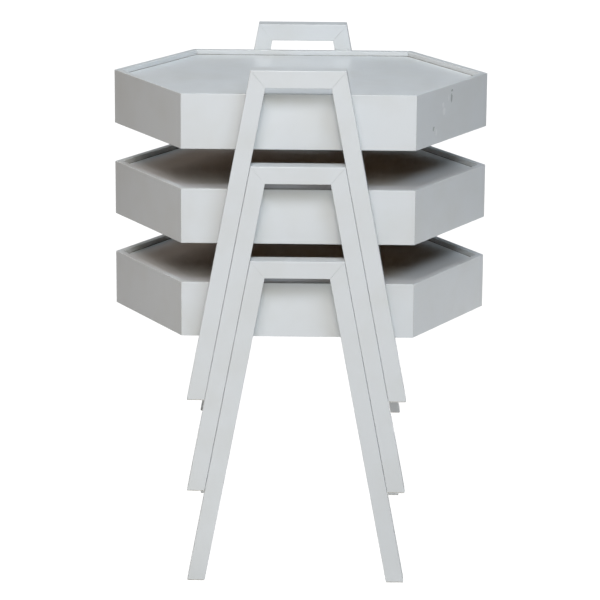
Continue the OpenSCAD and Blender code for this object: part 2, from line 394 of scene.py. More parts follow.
def plain_mesh(piece):
    """Gives the piece the mesh that its modifiers make, and takes the modifiers away."""
    bpy.context.view_layer.update()
    seen = piece.evaluated_get(bpy.context.evaluated_depsgraph_get())
    made = bpy.data.meshes.new_from_object(seen)
    piece.modifiers.clear()
    old, piece.data = piece.data, made
    made.name = piece.name
    bpy.data.meshes.remove(old)


def new_piece(name, mesh, *finishes):
    """An object at the origin that shows a mesh in these finishes."""
    piece = bpy.data.objects.new(name, mesh)
    for finish in finishes:
        mesh.materials.append(finish)
    bpy.context.scene.collection.objects.link(piece)
    return piece


def shade(piece, crease_degrees=CREASE):
    """Smooth shading that keeps corners sharper than the crease angle and flats flat."""
    piece.data.shade_smooth()
    piece.data.set_sharp_from_angle(angle=math.radians(crease_degrees))
    weighting = piece.modifiers.new("flats stay flat", "WEIGHTED_NORMAL")
    weighting.keep_sharp = True
    plain_mesh(piece)


def stand_for(piece, node):
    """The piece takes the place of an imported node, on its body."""
    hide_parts(node)
    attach(piece, body_of_node[node])


print("corners stay sharp from this angle, in degrees:", CREASE)

# %% [markdown]
# ## Open mitres and eased ends
# Wood shrinks a little after glueing, so the lacquer cracks along a mitre and a dark hairline
# shows. Here each cut end is drawn back by less than a tenth of a millimetre, which opens the
# line, and its edges are eased as a sander leaves them. A Bevel modifier would round every
# edge, so the edges between a cut end and a long side are picked by which way faces look.

# %% Easing the ends
EASED = 0.5 * MM
SHRUNK = 0.07 * MM
# A cut end is larger than this, and its normal lies along the stick by more than this.
END_FACE = 80 * MM * MM
ENDWISE = 0.3
# A foot's sole looks straight down. It is eased but not drawn back.
SOLE = 0.99
# A long side is larger than this, and its normal lies along the stick by less than this.
SIDE_FACE = 8 * MM * MM
SIDEWAYS = 0.02


def ease_ends(work, along):
    """Opens the mitres of a stick, and chamfers the outer edges of its cut ends."""
    ends = {f for f in work.faces if abs(f.normal.dot(along)) > ENDWISE and f.calc_area() > END_FACE}
    for face in ends:
        if abs(face.normal.z) < SOLE:
            for vertex in face.verts:
                vertex.co -= along * (SHRUNK / face.normal.dot(along))
    edges = []
    for edge in work.edges:
        cut = [f for f in edge.link_faces if f in ends]
        side = [f for f in edge.link_faces if f not in ends]
        if cut and side and abs(side[0].normal.dot(along)) < SIDEWAYS and side[0].calc_area() > SIDE_FACE:
            edges.append(edge)
    bevel(work, edges, EASED)
    return len(edges)


print("ends eased by, in mm:", EASED / MM)

# %% [markdown]
# ## Frames: bars and legs
# Each frame is a square stick mitred at two corners. Lacquer on beech shows the grain, so a
# piece also stores its own long direction. The legs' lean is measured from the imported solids:
# how far a leg goes out, over how far it goes down.

# %% Frames
def store_grain(mesh, along):
    """Stores each vertex's place measured along and across the stick."""
    turn = along.rotation_difference(Vector((1, 0, 0))).to_matrix()
    store(mesh, "grain", "FLOAT_VECTOR", [c for v in mesh.vertices for c in turn @ v.co])


bar_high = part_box("bottom_front_carrying_bar")[1]
leg_low, leg_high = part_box("bottom_front_right_leg")
lean = math.atan((leg_high.x - bar_high.x) / (leg_high.z - leg_low.z))
STICKS = {
    "carrying_bar": Vector((1, 0, 0)),
    "left_leg": Vector((math.sin(lean), 0, math.cos(lean))),
    "right_leg": Vector((-math.sin(lean), 0, math.cos(lean))),
}
eased = 0
for level in LEVELS:
    for side in ("front", "back"):
        for stick, along in STICKS.items():
            node = f"{level}_{side}_{stick}"
            work = clean_copy(node)
            eased += ease_ends(work, along)
            mesh = as_mesh(work, node)
            store_grain(mesh, along)
            piece = new_piece(f"{node}_lacquered", mesh, lacquer_on_beech)
            shade(piece)
            stand_for(piece, node)
print("legs lean, in degrees:", round(math.degrees(lean), 2), "edges eased:", eased)

# %% [markdown]
# ## Knocks in the lacquer
# The top tray has been carried about, and one of its rails has a few small dents. Some are
# filled with a darker grey, which is painted shade, and some with a whiter lacquer, which is a
# painted highlight. The dents are cut into the mesh, so that light catches their edges from any
# side: each is an uneven pebble of a shape, sunk into the rail's face by a Boolean modifier. A
# fixed seed makes the same pebbles each time.

# %% Knocks
# Two finishes are painted into the dents: a grey as painted shade, a whiter lacquer as painted highlight.
RAIL_FINISHES = (lacquer_on_board, raw_board, dent_shade, dent_highlight)
SHADED_DENT, LIT_DENT = 2, 3
KNOCKED_RAIL = "top_front_right_rail"
# Distance along the rail from its front corner, height above its lower edge, then width,
# height and depth of the mark, all in millimetres, and the finish that shows in it.
KNOCKS = (
    (111.8, 74.7, 6.4, 4.4, 0.20, SHADED_DENT),
    (110.2, 63.5, 5.4, 13.0, 0.20, SHADED_DENT),
    (54.6, 24.6, 6.4, 7.0, 1.30, SHADED_DENT),
    (83.5, 56.5, 7.0, 8.0, 0.20, LIT_DENT),
    (87.0, 46.0, 8.0, 13.0, 0.25, LIT_DENT),
    (101.0, 65.0, 3.0, 12.0, 0.20, LIT_DENT),
    (62.5, 18.0, 5.0, 11.0, 0.20, LIT_DENT),
    (71.0, 11.0, 6.0, 3.4, 0.25, LIT_DENT),
)
PEBBLE_SEED = 21
UNEVEN = 0.22


def knock(piece, start, along, outward):
    """Sinks the knocks into a rail whose outer face begins at start."""
    chance = random.Random(PEBBLE_SEED)
    work = bmesh.new()
    for run, rise, width, height, depth, finish in KNOCKS:
        pebble = bmesh.ops.create_icosphere(work, subdivisions=2, radius=0.5)["verts"]
        centre = start + (along * run + Vector((0, 0, rise))) * MM
        for vertex in pebble:
            rough = 1 + chance.uniform(-UNEVEN, UNEVEN)
            x, y, z = vertex.co * rough
            swell = along * x * width + outward * y * 2 * depth + Vector((0, 0, z * height))
            vertex.co = centre + swell * MM
        for face in {f for v in pebble for f in v.link_faces}:
            face.material_index = finish
    bmesh.ops.recalc_face_normals(work, faces=work.faces)
    mesh = as_mesh(work, "knocks")
    store(mesh, "height", "FLOAT", [1.0] * len(mesh.vertices))
    pebbles = new_piece("knocks", mesh)
    cut = piece.modifiers.new("knocks", "BOOLEAN")
    cut.object, cut.operation, cut.solver = pebbles, "DIFFERENCE", "EXACT"
    plain_mesh(piece)
    bpy.data.objects.remove(pebbles)


print("knocks:", len(KNOCKS), "in", KNOCKED_RAIL)

# %% [markdown]
# ## Tray rails
# Six rails go round each tray, mitred at the corners. Outside and on the rim they are
# lacquered; the inner face under the floor is left raw. The same easing makes the hairlines
# at the corners. Which faces are raw is read from the mesh: those that face the middle of
# the tray and lie below the floor panel.

# %% Rails
RAILS = ("front", "front_right", "back_right", "back", "back_left", "front_left")
SIDE_TURN = math.radians(60)
INWARD = -0.3

for level in LEVELS:
    floor_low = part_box(f"{level}_floor_panel")[0].z
    for rail in RAILS:
        node = f"{level}_{rail}_rail"
        low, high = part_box(node)
        middle = (low + high) / 2
        straight = rail in ("front", "back")
        outward = Vector((
            0 if straight else math.copysign(math.sin(SIDE_TURN), middle.x),
            math.copysign(1 if straight else 0.5, middle.y), 0))
        work = clean_copy(node)
        ease_ends(work, outward.cross(Vector((0, 0, 1))))
        for face in work.faces:
            inner = face.normal.dot(outward) < INWARD
            face.material_index = int(inner and face.calc_center_median().z < floor_low)
        mesh = as_mesh(work, node)
        store(mesh, "height", "FLOAT", [v.co.z - low.z for v in mesh.vertices])
        piece = new_piece(f"{node}_lacquered", mesh, *RAIL_FINISHES)
        if node == KNOCKED_RAIL:
            front_corner = Vector((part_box(f"{level}_front_rail")[1].x, low.y, low.z))
            knock(piece, front_corner, outward.cross(Vector((0, 0, -1))), outward)
        shade(piece)
        stand_for(piece, node)
print("rails:", len(LEVELS) * len(RAILS))

# %% [markdown]
# ## A way to run Geometry Nodes from the script
# What repeats, and what follows a rule, is grown by Geometry Nodes. Each tree is built here
# with named sizes. One helper starts a tree, and another hands it its sizes, lets Blender
# work it out, and keeps the result as a plain mesh, so nothing live is left behind.

# %% Tree helpers
SOCKETS = {float: "NodeSocketFloat", int: "NodeSocketInt", bpy.types.Material: "NodeSocketMaterial"}
# Stands in a tree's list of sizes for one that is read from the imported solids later.
MEASURED = 0.0


def new_tree(name, sizes):
    """A geometry tree with an input for each size, its adder of nodes, and those inputs."""
    tree = bpy.data.node_groups.new(name, "GeometryNodeTree")
    tree.interface.new_socket("Geometry", in_out="INPUT", socket_type="NodeSocketGeometry")
    tree.interface.new_socket("Geometry", in_out="OUTPUT", socket_type="NodeSocketGeometry")
    for title, value in sizes.items():
        tree.interface.new_socket(title, in_out="INPUT", socket_type=SOCKETS[type(value)])
    put = node_adder(tree)
    return tree, put, put("NodeGroupInput").outputs


def grown(name, tree, sizes, mesh=None):
    """The plain mesh object that a tree makes from a start mesh and these sizes."""
    piece = new_piece(name, mesh or bpy.data.meshes.new(name))
    nodes = piece.modifiers.new(tree.name, "NODES")
    nodes.node_group = tree
    for item in tree.interface.items_tree:
        if item.name in sizes:
            nodes[item.identifier] = sizes[item.name]
    plain_mesh(piece)
    return piece


print("kinds of input:", *SOCKETS.values())

# %% [markdown]
# ## What the trees share
# Several pieces are turned from rings: a cylinder with a few rings of corners is made, and
# every ring gets its own width and height. Each tree also ends alike, with its copies made
# real and its finish set, because an export drops instances and loses a missing finish.

# %% Shared parts of the trees
def by_ring(put, ring, values):
    """The value that belongs to a ring: the first for ring 0, and so on."""
    switch = put("GeometryNodeIndexSwitch", {"Index": ring}, data_type="FLOAT")
    while len(switch.index_switch_items) < len(values):
        switch.index_switch_items.new()
    feed(switch, dict(enumerate(values, 1)))
    return switch


def ringed_blank(put, sides, rings):
    """A cylinder with rings of corners, each corner's place, and the number of its ring."""
    blank = put("GeometryNodeMeshCylinder", {
        "Vertices": sides, "Side Segments": rings - 1, "Radius": 1.0, "Depth": rings - 1},
        fill_type="NGON")
    place = put("ShaderNodeSeparateXYZ", {0: put("GeometryNodeInputPosition")}).outputs
    above_first = put(MATH, {0: place["Z"], 1: (rings - 1) / 2}, operation="ADD")
    return blank, place, put(MATH, {0: above_first}, operation="ROUND")


def end_tree(put, shape, finish, second_finish=None, where=None):
    """Ends a tree: the shape made real, in one finish or with a second where a test holds."""
    real = put("GeometryNodeRealizeInstances", {0: shape})
    dressed = put("GeometryNodeSetMaterial", {"Geometry": real, "Material": finish})
    if second_finish:
        dressed = put("GeometryNodeSetMaterial", {
            "Geometry": dressed, "Selection": where, "Material": second_finish})
    put("NodeGroupOutput", {0: dressed})


print("shared parts:", by_ring.__name__, ringed_blank.__name__, end_tree.__name__)

# %% [markdown]
# ## The floor panel grows from a rule
# Each tray's floor is a six-sided board whose upper face is rebated, so that a thinner
# tongue slides into the rails' grooves. The tree starts from a six-sided cylinder with five
# rings of corners, and gives each ring its inset and its height. Drawing the board by hand
# would give the same shape once; the rule gives it for any size of tray.

# %% Panel rings
RINGS = 5
PANEL = {
    "Front Edge": MEASURED, "Depth": MEASURED, "Thickness": MEASURED, "Tongue Width": MEASURED,
    "Tongue Thickness": MEASURED, "Eased Edge": 0.3 * MM, "Underside Height": MEASURED,
    "Raw": raw_board, "Lacquer": lacquer_on_board}
panel_tree, put, size = new_tree("six sided panel with a tongue", PANEL)
blank, corner, ring = ringed_blank(put, 6, RINGS)
shoulder_inset = size["Tongue Width"]
eased_inset = put(MATH, {0: shoulder_inset, 1: size["Eased Edge"]}, operation="ADD")
eased_height = put(MATH, {0: size["Thickness"], 1: size["Eased Edge"]}, operation="SUBTRACT")
inset = by_ring(put, ring, [0.0, 0.0, shoulder_inset, shoulder_inset, eased_inset])
rise = by_ring(put, ring, [
    0.0, size["Tongue Thickness"], size["Tongue Thickness"], eased_height, size["Thickness"]])
print("rings of corners:", RINGS)

# %% [markdown]
# ## Where the panel's corners lie
# Every corner moves in along its own bisector as the outline shrinks. The corners come in
# three rows: a front or back corner lies half the front edge from the middle line, and the
# points left and right lie further out by the run of the slanted sides.

# %% Panel corners
# Corners turn through 120 degrees, so a side board runs tan(30) sideways for each step in.
SIDE_RUN = math.tan(math.radians(30))
TO_ROW = 1 / math.cos(math.radians(30))
half_size = put(MATH, {0: size["Depth"], 1: 0.5}, operation="MULTIPLY")
half_depth = put(MATH, {0: half_size, 1: inset}, operation="SUBTRACT")
half_front = put(MATH, {0: size["Front Edge"], 1: 0.5}, operation="MULTIPLY")
edge_inset = put(MATH, {0: inset, 1: SIDE_RUN}, operation="MULTIPLY")
half_edge = put(MATH, {0: half_front, 1: edge_inset}, operation="SUBTRACT")
row_place = put(MATH, {0: corner["Y"], 1: TO_ROW}, operation="MULTIPLY")
row = put(MATH, {0: row_place}, operation="ROUND")
row_size = put(MATH, {0: row}, operation="ABSOLUTE")
is_point = put(MATH, {0: 1.0, 1: row_size}, operation="SUBTRACT")
point_run = put(MATH, {0: half_depth, 1: SIDE_RUN}, operation="MULTIPLY")
reach = put(MATH, {0: is_point, 1: point_run, 2: half_edge}, operation="MULTIPLY_ADD")
hand = put(MATH, {0: corner["X"]}, operation="SIGN")
across = put(MATH, {0: hand, 1: reach}, operation="MULTIPLY")
deep = put(MATH, {0: row, 1: half_depth}, operation="MULTIPLY")
tall = put(MATH, {0: rise, 1: size["Underside Height"]}, operation="ADD")
print("a slanted side runs out this much for each step in:", round(SIDE_RUN, 3))

# %% [markdown]
# ## Which faces of the panel are sprayed
# Only the upper face is lacquered, with the little chamfer round it. The tree gives all of
# the board the raw finish, then lays lacquer over the faces that look up.

# %% Panel finish
LOOKS_UP = 0.5
placed = put("ShaderNodeCombineXYZ", {0: across, 1: deep, 2: tall})
shaped = put("GeometryNodeSetPosition", {"Geometry": blank, "Position": placed})
facing = put("ShaderNodeSeparateXYZ", {0: put("GeometryNodeInputNormal")}).outputs["Z"]
upward = put("FunctionNodeCompare", {0: facing, 1: LOOKS_UP}, operation="GREATER_THAN")
end_tree(put, shaped, size["Raw"], size["Lacquer"], upward)
print("panel tree nodes:", len(panel_tree.nodes))

# %% [markdown]
# ## Floor panels
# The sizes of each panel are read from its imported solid: the outline and thickness from its
# box, the tongue from where the rebate's shoulder lies. The board stands where the solid does.

# %% Floor panels
TOLERANCE = 0.01 * MM

for level in LEVELS:
    node = f"{level}_floor_panel"
    low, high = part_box(node)
    corners = [v.co for v in frame["nodes"][node].data.vertices]
    upper_depth = max(c.y for c in corners if c.z > high.z - TOLERANCE)
    shoulder = min(c.z for c in corners if abs(c.y) < upper_depth + TOLERANCE and c.z > low.z + MM)
    piece = grown(f"{node}_board", panel_tree, {
        **PANEL, "Front Edge": 2 * max(c.x for c in corners if c.y > high.y - TOLERANCE),
        "Depth": high.y - low.y, "Thickness": high.z - low.z, "Underside Height": low.z,
        "Tongue Width": high.y - upper_depth, "Tongue Thickness": shoulder - low.z})
    store(piece.data, "height", "FLOAT", [1.0] * len(piece.data.vertices))
    stand_for(piece, node)
    print(node, "tongue in mm:", round((high.y - upper_depth) / MM, 2), round((shoulder - low.z) / MM, 2))

# %% [markdown]
# ## Where the small fittings go
# Bolts, washers, inserts and dowels repeat in the same way at every corner of every table.
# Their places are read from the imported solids: each separate solid has a middle, and its
# largest flat face tells which way it points. A mark is left where each one starts.

# %% Marks
def separate_solids(work):
    """The vertices of a bmesh, sorted into its separate solids in the mesh's own order."""
    seen = set()
    for first in work.verts:
        if first not in seen:
            seen.add(first)
            solid = [first]
            for vertex in solid:
                near = [e.other_vert(vertex) for e in vertex.link_edges]
                near = [v for v in near if v not in seen]
                seen.update(near)
                solid += near
            yield solid


def marks(node):
    """A mesh with a vertex where each solid of a node starts, and the solids' length."""
    work = clean_copy(node)
    starts, axes, lengths = [], [], []
    for solid in separate_solids(work):
        faces = [f for v in solid for f in v.link_faces]
        axis = max(faces, key=lambda f: f.calc_area()).normal.copy()
        middle = sum((v.co for v in solid), Vector()) / len(solid)
        if axis.dot(Vector((0, middle.y, 0))) < 0:
            axis.negate()
        along = [(v.co - middle).dot(axis) for v in solid]
        starts.append(middle + axis * min(along))
        axes += list(axis)
        lengths.append(max(along) - min(along))
    work.free()
    mesh = bpy.data.meshes.new(node)
    mesh.from_pydata(starts, [], [])
    store(mesh, "axis", "FLOAT_VECTOR", axes)
    return mesh, lengths[0]


print("bolts to a table:", len(marks("top_frame_bolts")[0].vertices))

# %% [markdown]
# ## One fitting on every mark
# Each fitting is drawn once, standing on z = 0, and Instance on Points sets it on every mark,
# turned to the mark's axis. Nobody lines up round parts, so a random turn about that axis
# follows, with a fixed seed.

# %% Fittings on marks
def moved(put, shape, height):
    """The shape, raised by a height."""
    lift = put("ShaderNodeCombineXYZ", {2: height})
    return put("GeometryNodeTransform", {"Geometry": shape, "Translation": lift})


def set_at_marks(put, given, shape):
    """Ends a tree: one shape on each mark, turned to its axis, made real and finished."""
    axis = put("GeometryNodeInputNamedAttribute", {"Name": "axis"}, data_type="FLOAT_VECTOR")
    facing = put("FunctionNodeAlignRotationToVector", {"Vector": axis}, axis="Z")
    turn = put("FunctionNodeRandomValue", {"Seed": given["Seed"], 3: 2 * math.pi}, data_type="FLOAT")
    spun = put("FunctionNodeAxisAngleToRotation", {"Axis": (0, 0, 1), "Angle": turn})
    both = put("FunctionNodeRotateRotation", {
        "Rotation": facing, "Rotate By": spun}, rotation_space="LOCAL")
    copies = put("GeometryNodeInstanceOnPoints", {
        "Points": given["Geometry"], "Instance": shape, "Rotation": both})
    end_tree(put, copies, given["Finish"])


def grow_fittings(kind, made, tree, sizes, length_name="Length", grain=None, crease_degrees=CREASE):
    """Grows one kind of fitting on its marks, on every table."""
    for level in LEVELS:
        node = f"{level}_{kind}"
        places, length = marks(node)
        piece = grown(f"{node}_{made}", tree, {**sizes, length_name: length}, places)
        if grain is not None:
            store_grain(piece.data, grain)
        shade(piece, crease_degrees)
        stand_for(piece, node)
    print(kind, "length in mm:", round(length / MM, 2), "faces to a table:", len(piece.data.polygons))


print("fitting helpers ready")

# %% [markdown]
# ## Washers
# A washer is a small rounded rectangle swept round a circle, which is just what Curve to
# Mesh does with two curves. A plain cylinder with a hole would have knife edges; a stamped
# washer has softened ones.

# %% Washers
def swept_ring(put, outside, hole, height, rounding):
    """A ring with rounded edges that stands on z = 0: a rounded section swept round a circle."""
    both_walls = put(MATH, {0: outside, 1: hole}, operation="SUBTRACT")
    wall = put(MATH, {0: both_walls, 1: 0.5}, operation="MULTIPLY")
    both_widths = put(MATH, {0: outside, 1: hole}, operation="ADD")
    middle = put(MATH, {0: both_widths, 1: 0.25}, operation="MULTIPLY")
    path = put("GeometryNodeCurvePrimitiveCircle", {"Resolution": 32, "Radius": middle})
    section = put("GeometryNodeCurvePrimitiveQuadrilateral", {"Width": wall, "Height": height})
    rounded = put("GeometryNodeFilletCurve", {
        "Curve": section, "Count": 2, "Radius": rounding}, mode="POLY")
    swept = put("GeometryNodeCurveToMesh", {"Curve": path, "Profile Curve": rounded})
    half = put(MATH, {0: height, 1: 0.5}, operation="MULTIPLY")
    return moved(put, swept, half)


WASHER = {
    "Outside Diameter": 14 * MM, "Hole Diameter": 6.6 * MM, "Thickness": MEASURED,
    "Edge Rounding": 0.25 * MM, "Seed": 11, "Finish": bright_zinc}
washer_tree, put, size = new_tree("stamped washer", WASHER)
set_at_marks(put, size, swept_ring(
    put, size["Outside Diameter"], size["Hole Diameter"], size["Thickness"], size["Edge Rounding"]))
grow_fittings("bolt_washers", "plated", washer_tree, WASHER, length_name="Thickness")

# %% [markdown]
# ## The bolt's head
# Each leg is held by two button-head bolts with a hex socket. The head is turned from rings,
# like the floor panel, but the rings of the socket follow a hexagon instead of a circle. A
# boolean cut would make the same socket with untidy faces.

# %% Bolt head
SIDES = 24
# Each ring of the dome: its radius as a share of the head's diameter, and how far it lies
# below the crown as a share of the head's height. The first two rings belong to the socket.
DOME = (0.0, 0.0, 0.29, 0.36, 0.42, 0.465, 0.497, 0.5)
FALL = (0.0, 0.06, 0.0, 0.08, 0.26, 0.5, 0.82, 1.0)
HEAD_RINGS = len(DOME)

BOLT = {
    "Head Diameter": 10.5 * MM, "Head Height": 3.3 * MM, "Socket Across Flats": 4 * MM,
    "Socket Depth": 2 * MM, "Thread Diameter": 6 * MM, "Thread Pitch": 1 * MM,
    "Length": MEASURED, "Seed": 7, "Finish": bright_zinc}
bolt_tree, put, size = new_tree("button head bolt", BOLT)
blank, place, ring = ringed_blank(put, SIDES, HEAD_RINGS)

# A hexagon's edge lies further out the nearer a direction is to one of its corners.
HALF_SIDE = math.radians(30)
angle = put(MATH, {0: place["Y"], 1: place["X"]}, operation="ARCTAN2")
from_flat = put(MATH, {0: angle, 1: HALF_SIDE, 2: -HALF_SIDE}, operation="WRAP")
spread = put(MATH, {0: from_flat}, operation="COSINE")
half_flats = put(MATH, {0: size["Socket Across Flats"], 1: 0.5}, operation="MULTIPLY")
socket = put(MATH, {0: half_flats, 1: spread}, operation="DIVIDE")

dome_share = by_ring(put, ring, DOME)
dome = put(MATH, {0: dome_share, 1: size["Head Diameter"]}, operation="MULTIPLY")
radius = by_ring(put, ring, [socket] * 2 + [dome] * (HEAD_RINGS - 2))
fall_share = by_ring(put, ring, FALL)
fall = put(MATH, {0: fall_share, 1: size["Head Height"]}, operation="MULTIPLY")
depth = by_ring(put, ring, [size["Socket Depth"]] + [fall] * (HEAD_RINGS - 1))
x = put(MATH, {0: place["X"], 1: radius}, operation="MULTIPLY")
y = put(MATH, {0: place["Y"], 1: radius}, operation="MULTIPLY")
turned_place = put("ShaderNodeCombineXYZ", {0: x, 1: y, 2: depth})
head = put("GeometryNodeSetPosition", {"Geometry": blank, "Position": turned_place})
print("rings in a bolt's head:", HEAD_RINGS, "sides:", SIDES)

# %% [markdown]
# ## The bolt's thread
# The thread is a ridge swept along a spiral, round a plain core. Its teeth reach into the
# core, so it reads as a cut thread and costs far fewer faces than a boolean would.

# %% Bolt thread
def spiral_ridge(put, middle, pitch, start, length):
    """A ridge that winds up round a core of radius middle, and stops short of both ends."""
    all_turns = put(MATH, {0: length, 1: pitch}, operation="DIVIDE")
    turns = put(MATH, {0: all_turns, 1: 1.5}, operation="SUBTRACT")
    rise = put(MATH, {0: turns, 1: pitch}, operation="MULTIPLY")
    path = put("GeometryNodeCurveSpiral", {
        "Resolution": SIDES, "Rotations": turns, "Start Radius": middle, "End Radius": middle,
        "Height": rise})
    tooth = put(MATH, {0: pitch, 1: 0.5}, operation="MULTIPLY")
    section = put("GeometryNodeCurvePrimitiveCircle", {"Resolution": 4, "Radius": tooth})
    ridge = put("GeometryNodeCurveToMesh", {"Curve": path, "Profile Curve": section, "Fill Caps": True})
    first = put(MATH, {0: start, 1: pitch}, operation="ADD")
    return moved(put, ridge, first)


def joined(put, shapes):
    """Several shapes as one."""
    join = put("GeometryNodeJoinGeometry")
    for shape in shapes:
        feed(join, {0: shape})
    return join


core_width = put(MATH, {0: size["Thread Diameter"], 1: size["Thread Pitch"]}, operation="SUBTRACT")
core = put(MATH, {0: core_width, 1: 0.5}, operation="MULTIPLY")
length = put(MATH, {0: size["Length"], 1: size["Head Height"]}, operation="SUBTRACT")
shank = put("GeometryNodeMeshCylinder", {
    "Vertices": SIDES, "Radius": core, "Depth": length}, fill_type="NGON")
half_way = put(MATH, {0: length, 1: 0.5, 2: size["Head Height"]}, operation="MULTIPLY_ADD")
thread = spiral_ridge(put, core, size["Thread Pitch"], size["Head Height"], length)
set_at_marks(put, size, joined(put, [head, moved(put, shank, half_way), thread]))
grow_fittings("frame_bolts", "plated", bolt_tree, BOLT)

# %% [markdown]
# ## Threaded inserts
# A bolt into bare wood would not survive many turns, so each leg holds a cast zinc insert: a
# flange, a tube, and a coarse thread that bites the wood. It reuses the swept ring and the
# spiral ridge.

# %% Inserts
INSERT = {
    "Flange Diameter": 14 * MM, "Flange Thickness": 1 * MM, "Thread Diameter": 10 * MM,
    "Thread Pitch": 2 * MM, "Hole Diameter": 6.1 * MM, "Length": MEASURED,
    "Edge Rounding": 0.2 * MM, "Seed": 5, "Finish": cast_zinc}
insert_tree, put, size = new_tree("threaded insert", INSERT)
tube_width = put(MATH, {0: size["Thread Diameter"], 1: size["Thread Pitch"]}, operation="SUBTRACT")
# The flange grips the tube halfway through its wall, so the two share no surface.
both_widths = put(MATH, {0: tube_width, 1: size["Hole Diameter"]}, operation="ADD")
grip = put(MATH, {0: both_widths, 1: 0.5}, operation="MULTIPLY")
flange = swept_ring(put, size["Flange Diameter"], grip, size["Flange Thickness"], size["Edge Rounding"])
tube = swept_ring(put, tube_width, size["Hole Diameter"], size["Length"], size["Edge Rounding"])
core = put(MATH, {0: tube_width, 1: 0.5}, operation="MULTIPLY")
bite = spiral_ridge(put, core, size["Thread Pitch"], size["Flange Thickness"], size["Length"])
set_at_marks(put, size, joined(put, [flange, tube, bite]))
grow_fittings("threaded_inserts", "cast", insert_tree, INSERT)

# %% [markdown]
# ## Dowels
# Two fluted beech dowels lock each mitre. The flutes let glue escape as the joint closes, and
# the ends are tapered so that they find their holes. A star curve swept along a line gives the
# flutes, and the sweep's scale gives the taper.

# %% Dowels
DOWEL = {
    "Diameter": 8 * MM, "Length": MEASURED, "Flutes": 20, "Flute Depth": 0.35 * MM,
    "Taper Length": 1.5 * MM, "Seed": 3, "Finish": beech}
dowel_tree, put, size = new_tree("fluted dowel", DOWEL)
outer = put(MATH, {0: size["Diameter"], 1: 0.5}, operation="MULTIPLY")
inner = put(MATH, {0: outer, 1: size["Flute Depth"]}, operation="SUBTRACT")
fluted = put("GeometryNodeCurveStar", {
    "Points": size["Flutes"], "Inner Radius": inner, "Outer Radius": outer})
tip = put("ShaderNodeCombineXYZ", {2: size["Length"]})
axle = put("GeometryNodeCurvePrimitiveLine", {"Start": (0, 0, 0), "End": tip})
stations = put("GeometryNodeResampleCurve", {"Curve": axle, "Count": 21})
so_far = put("GeometryNodeSplineParameter").outputs["Length"]
to_go = put(MATH, {0: size["Length"], 1: so_far}, operation="SUBTRACT")
nearest = put(MATH, {0: so_far, 1: to_go}, operation="MINIMUM")
taper = put("ShaderNodeMapRange", {
    "Value": nearest, "From Max": size["Taper Length"], "To Min": 0.8, "To Max": 1.0})
swept = put("GeometryNodeCurveToMesh", {
    "Curve": stations, "Profile Curve": fluted, "Scale": taper, "Fill Caps": True})
set_at_marks(put, size, swept)
grow_fittings(
    "mitre_dowels", "turned", dowel_tree, DOWEL, grain=Vector((1, 0, 0)), crease_degrees=60)

# %% [markdown]
# ## Glue blocks and foot pads
# A triangular softwood block is glued into each corner under the floor, its grain upright,
# and a thin nylon pad is pinned under each foot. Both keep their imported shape, with their
# edges broken: sawn wood splinters a little, and a moulding always has a radius.

# %% Blocks and pads
BROKEN = 0.4 * MM


def edges_broken(node, name, finish, segments):
    """Replaces a node by a copy with every edge chamfered or rounded."""
    work = clean_copy(node)
    bevel(work, list(work.edges), BROKEN, segments)
    mesh = as_mesh(work, name)
    store_grain(mesh, Vector((0, 0, 1)))
    piece = new_piece(name, mesh, finish)
    shade(piece)
    stand_for(piece, node)


for level in LEVELS:
    blocks, pads = f"{level}_corner_blocks", f"{level}_foot_pads"
    edges_broken(blocks, f"{blocks}_sawn", softwood, segments=1)
    edges_broken(pads, f"{pads}_moulded", nylon, segments=3)
print("edges of blocks and pads broken by, in mm:", BROKEN / MM)

# %% [markdown]
# ## A bead that wanders
# Glue squeezed out of a joint and dust settled in one are both beads: long, thin and uneven.
# A bead follows a path, so the path is drawn as a wire, and a tree resamples it, lets it
# wander, and sweeps a circle of uneven size along it. Sculpting would be slower.

# %% Bead tree
GLUE_BEAD = {
    "Bead Radius": 0.9 * MM, "Wander": 0.8 * MM, "Point Spacing": 2.5 * MM, "Seed": 4.0,
    "Finish": dried_glue}
bead_tree, put, size = new_tree("wandering bead", GLUE_BEAD)
wire = put("GeometryNodeMeshToCurve", {"Mesh": size["Geometry"]})
dotted = put("GeometryNodeResampleCurve", {"Curve": wire, "Length": size["Point Spacing"]}, mode="LENGTH")
noise = put(NOISE, {"W": size["Seed"], "Scale": per_mm(11), "Detail": 2.0}, noise_dimensions="4D")
centred = put("ShaderNodeVectorMath", {
    0: noise.outputs["Color"], 1: (0.5, 0.5, 0.5)}, operation="SUBTRACT")
drift = put("ShaderNodeVectorMath", {0: centred, "Scale": size["Wander"]}, operation="SCALE")
wandering = put("GeometryNodeSetPosition", {"Geometry": dotted, "Offset": drift})
uneven = put("ShaderNodeMapRange", {
    "Value": noise, "From Min": 0.3, "From Max": 0.7, "To Min": 0.45, "To Max": 1.35})
section = put("GeometryNodeCurvePrimitiveCircle", {"Resolution": 8, "Radius": size["Bead Radius"]})
bead = put("GeometryNodeCurveToMesh", {
    "Curve": wandering, "Profile Curve": section, "Scale": uneven, "Fill Caps": True})
end_tree(put, bead, size["Finish"])


def lay_bead(name, node, path, sizes, level):
    """A bead along a path, which rides with the table that a node belongs to."""
    seed = sizes["Seed"] + LEVELS.index(level)
    piece = grown(f"{level}_{name}", bead_tree, {**sizes, "Seed": seed}, path)
    piece.data.shade_smooth()
    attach(piece, body_of_node[node])
    print(piece.name, "faces:", len(piece.data.polygons))


print("bead tree nodes:", len(bead_tree.nodes))

# %% [markdown]
# ## Squeezed-out glue
# Glue that was pressed out of the joint has dried in a bead round every block. Its path runs
# along the block's lower edge to the tip and back, and up the two ends of the joint.

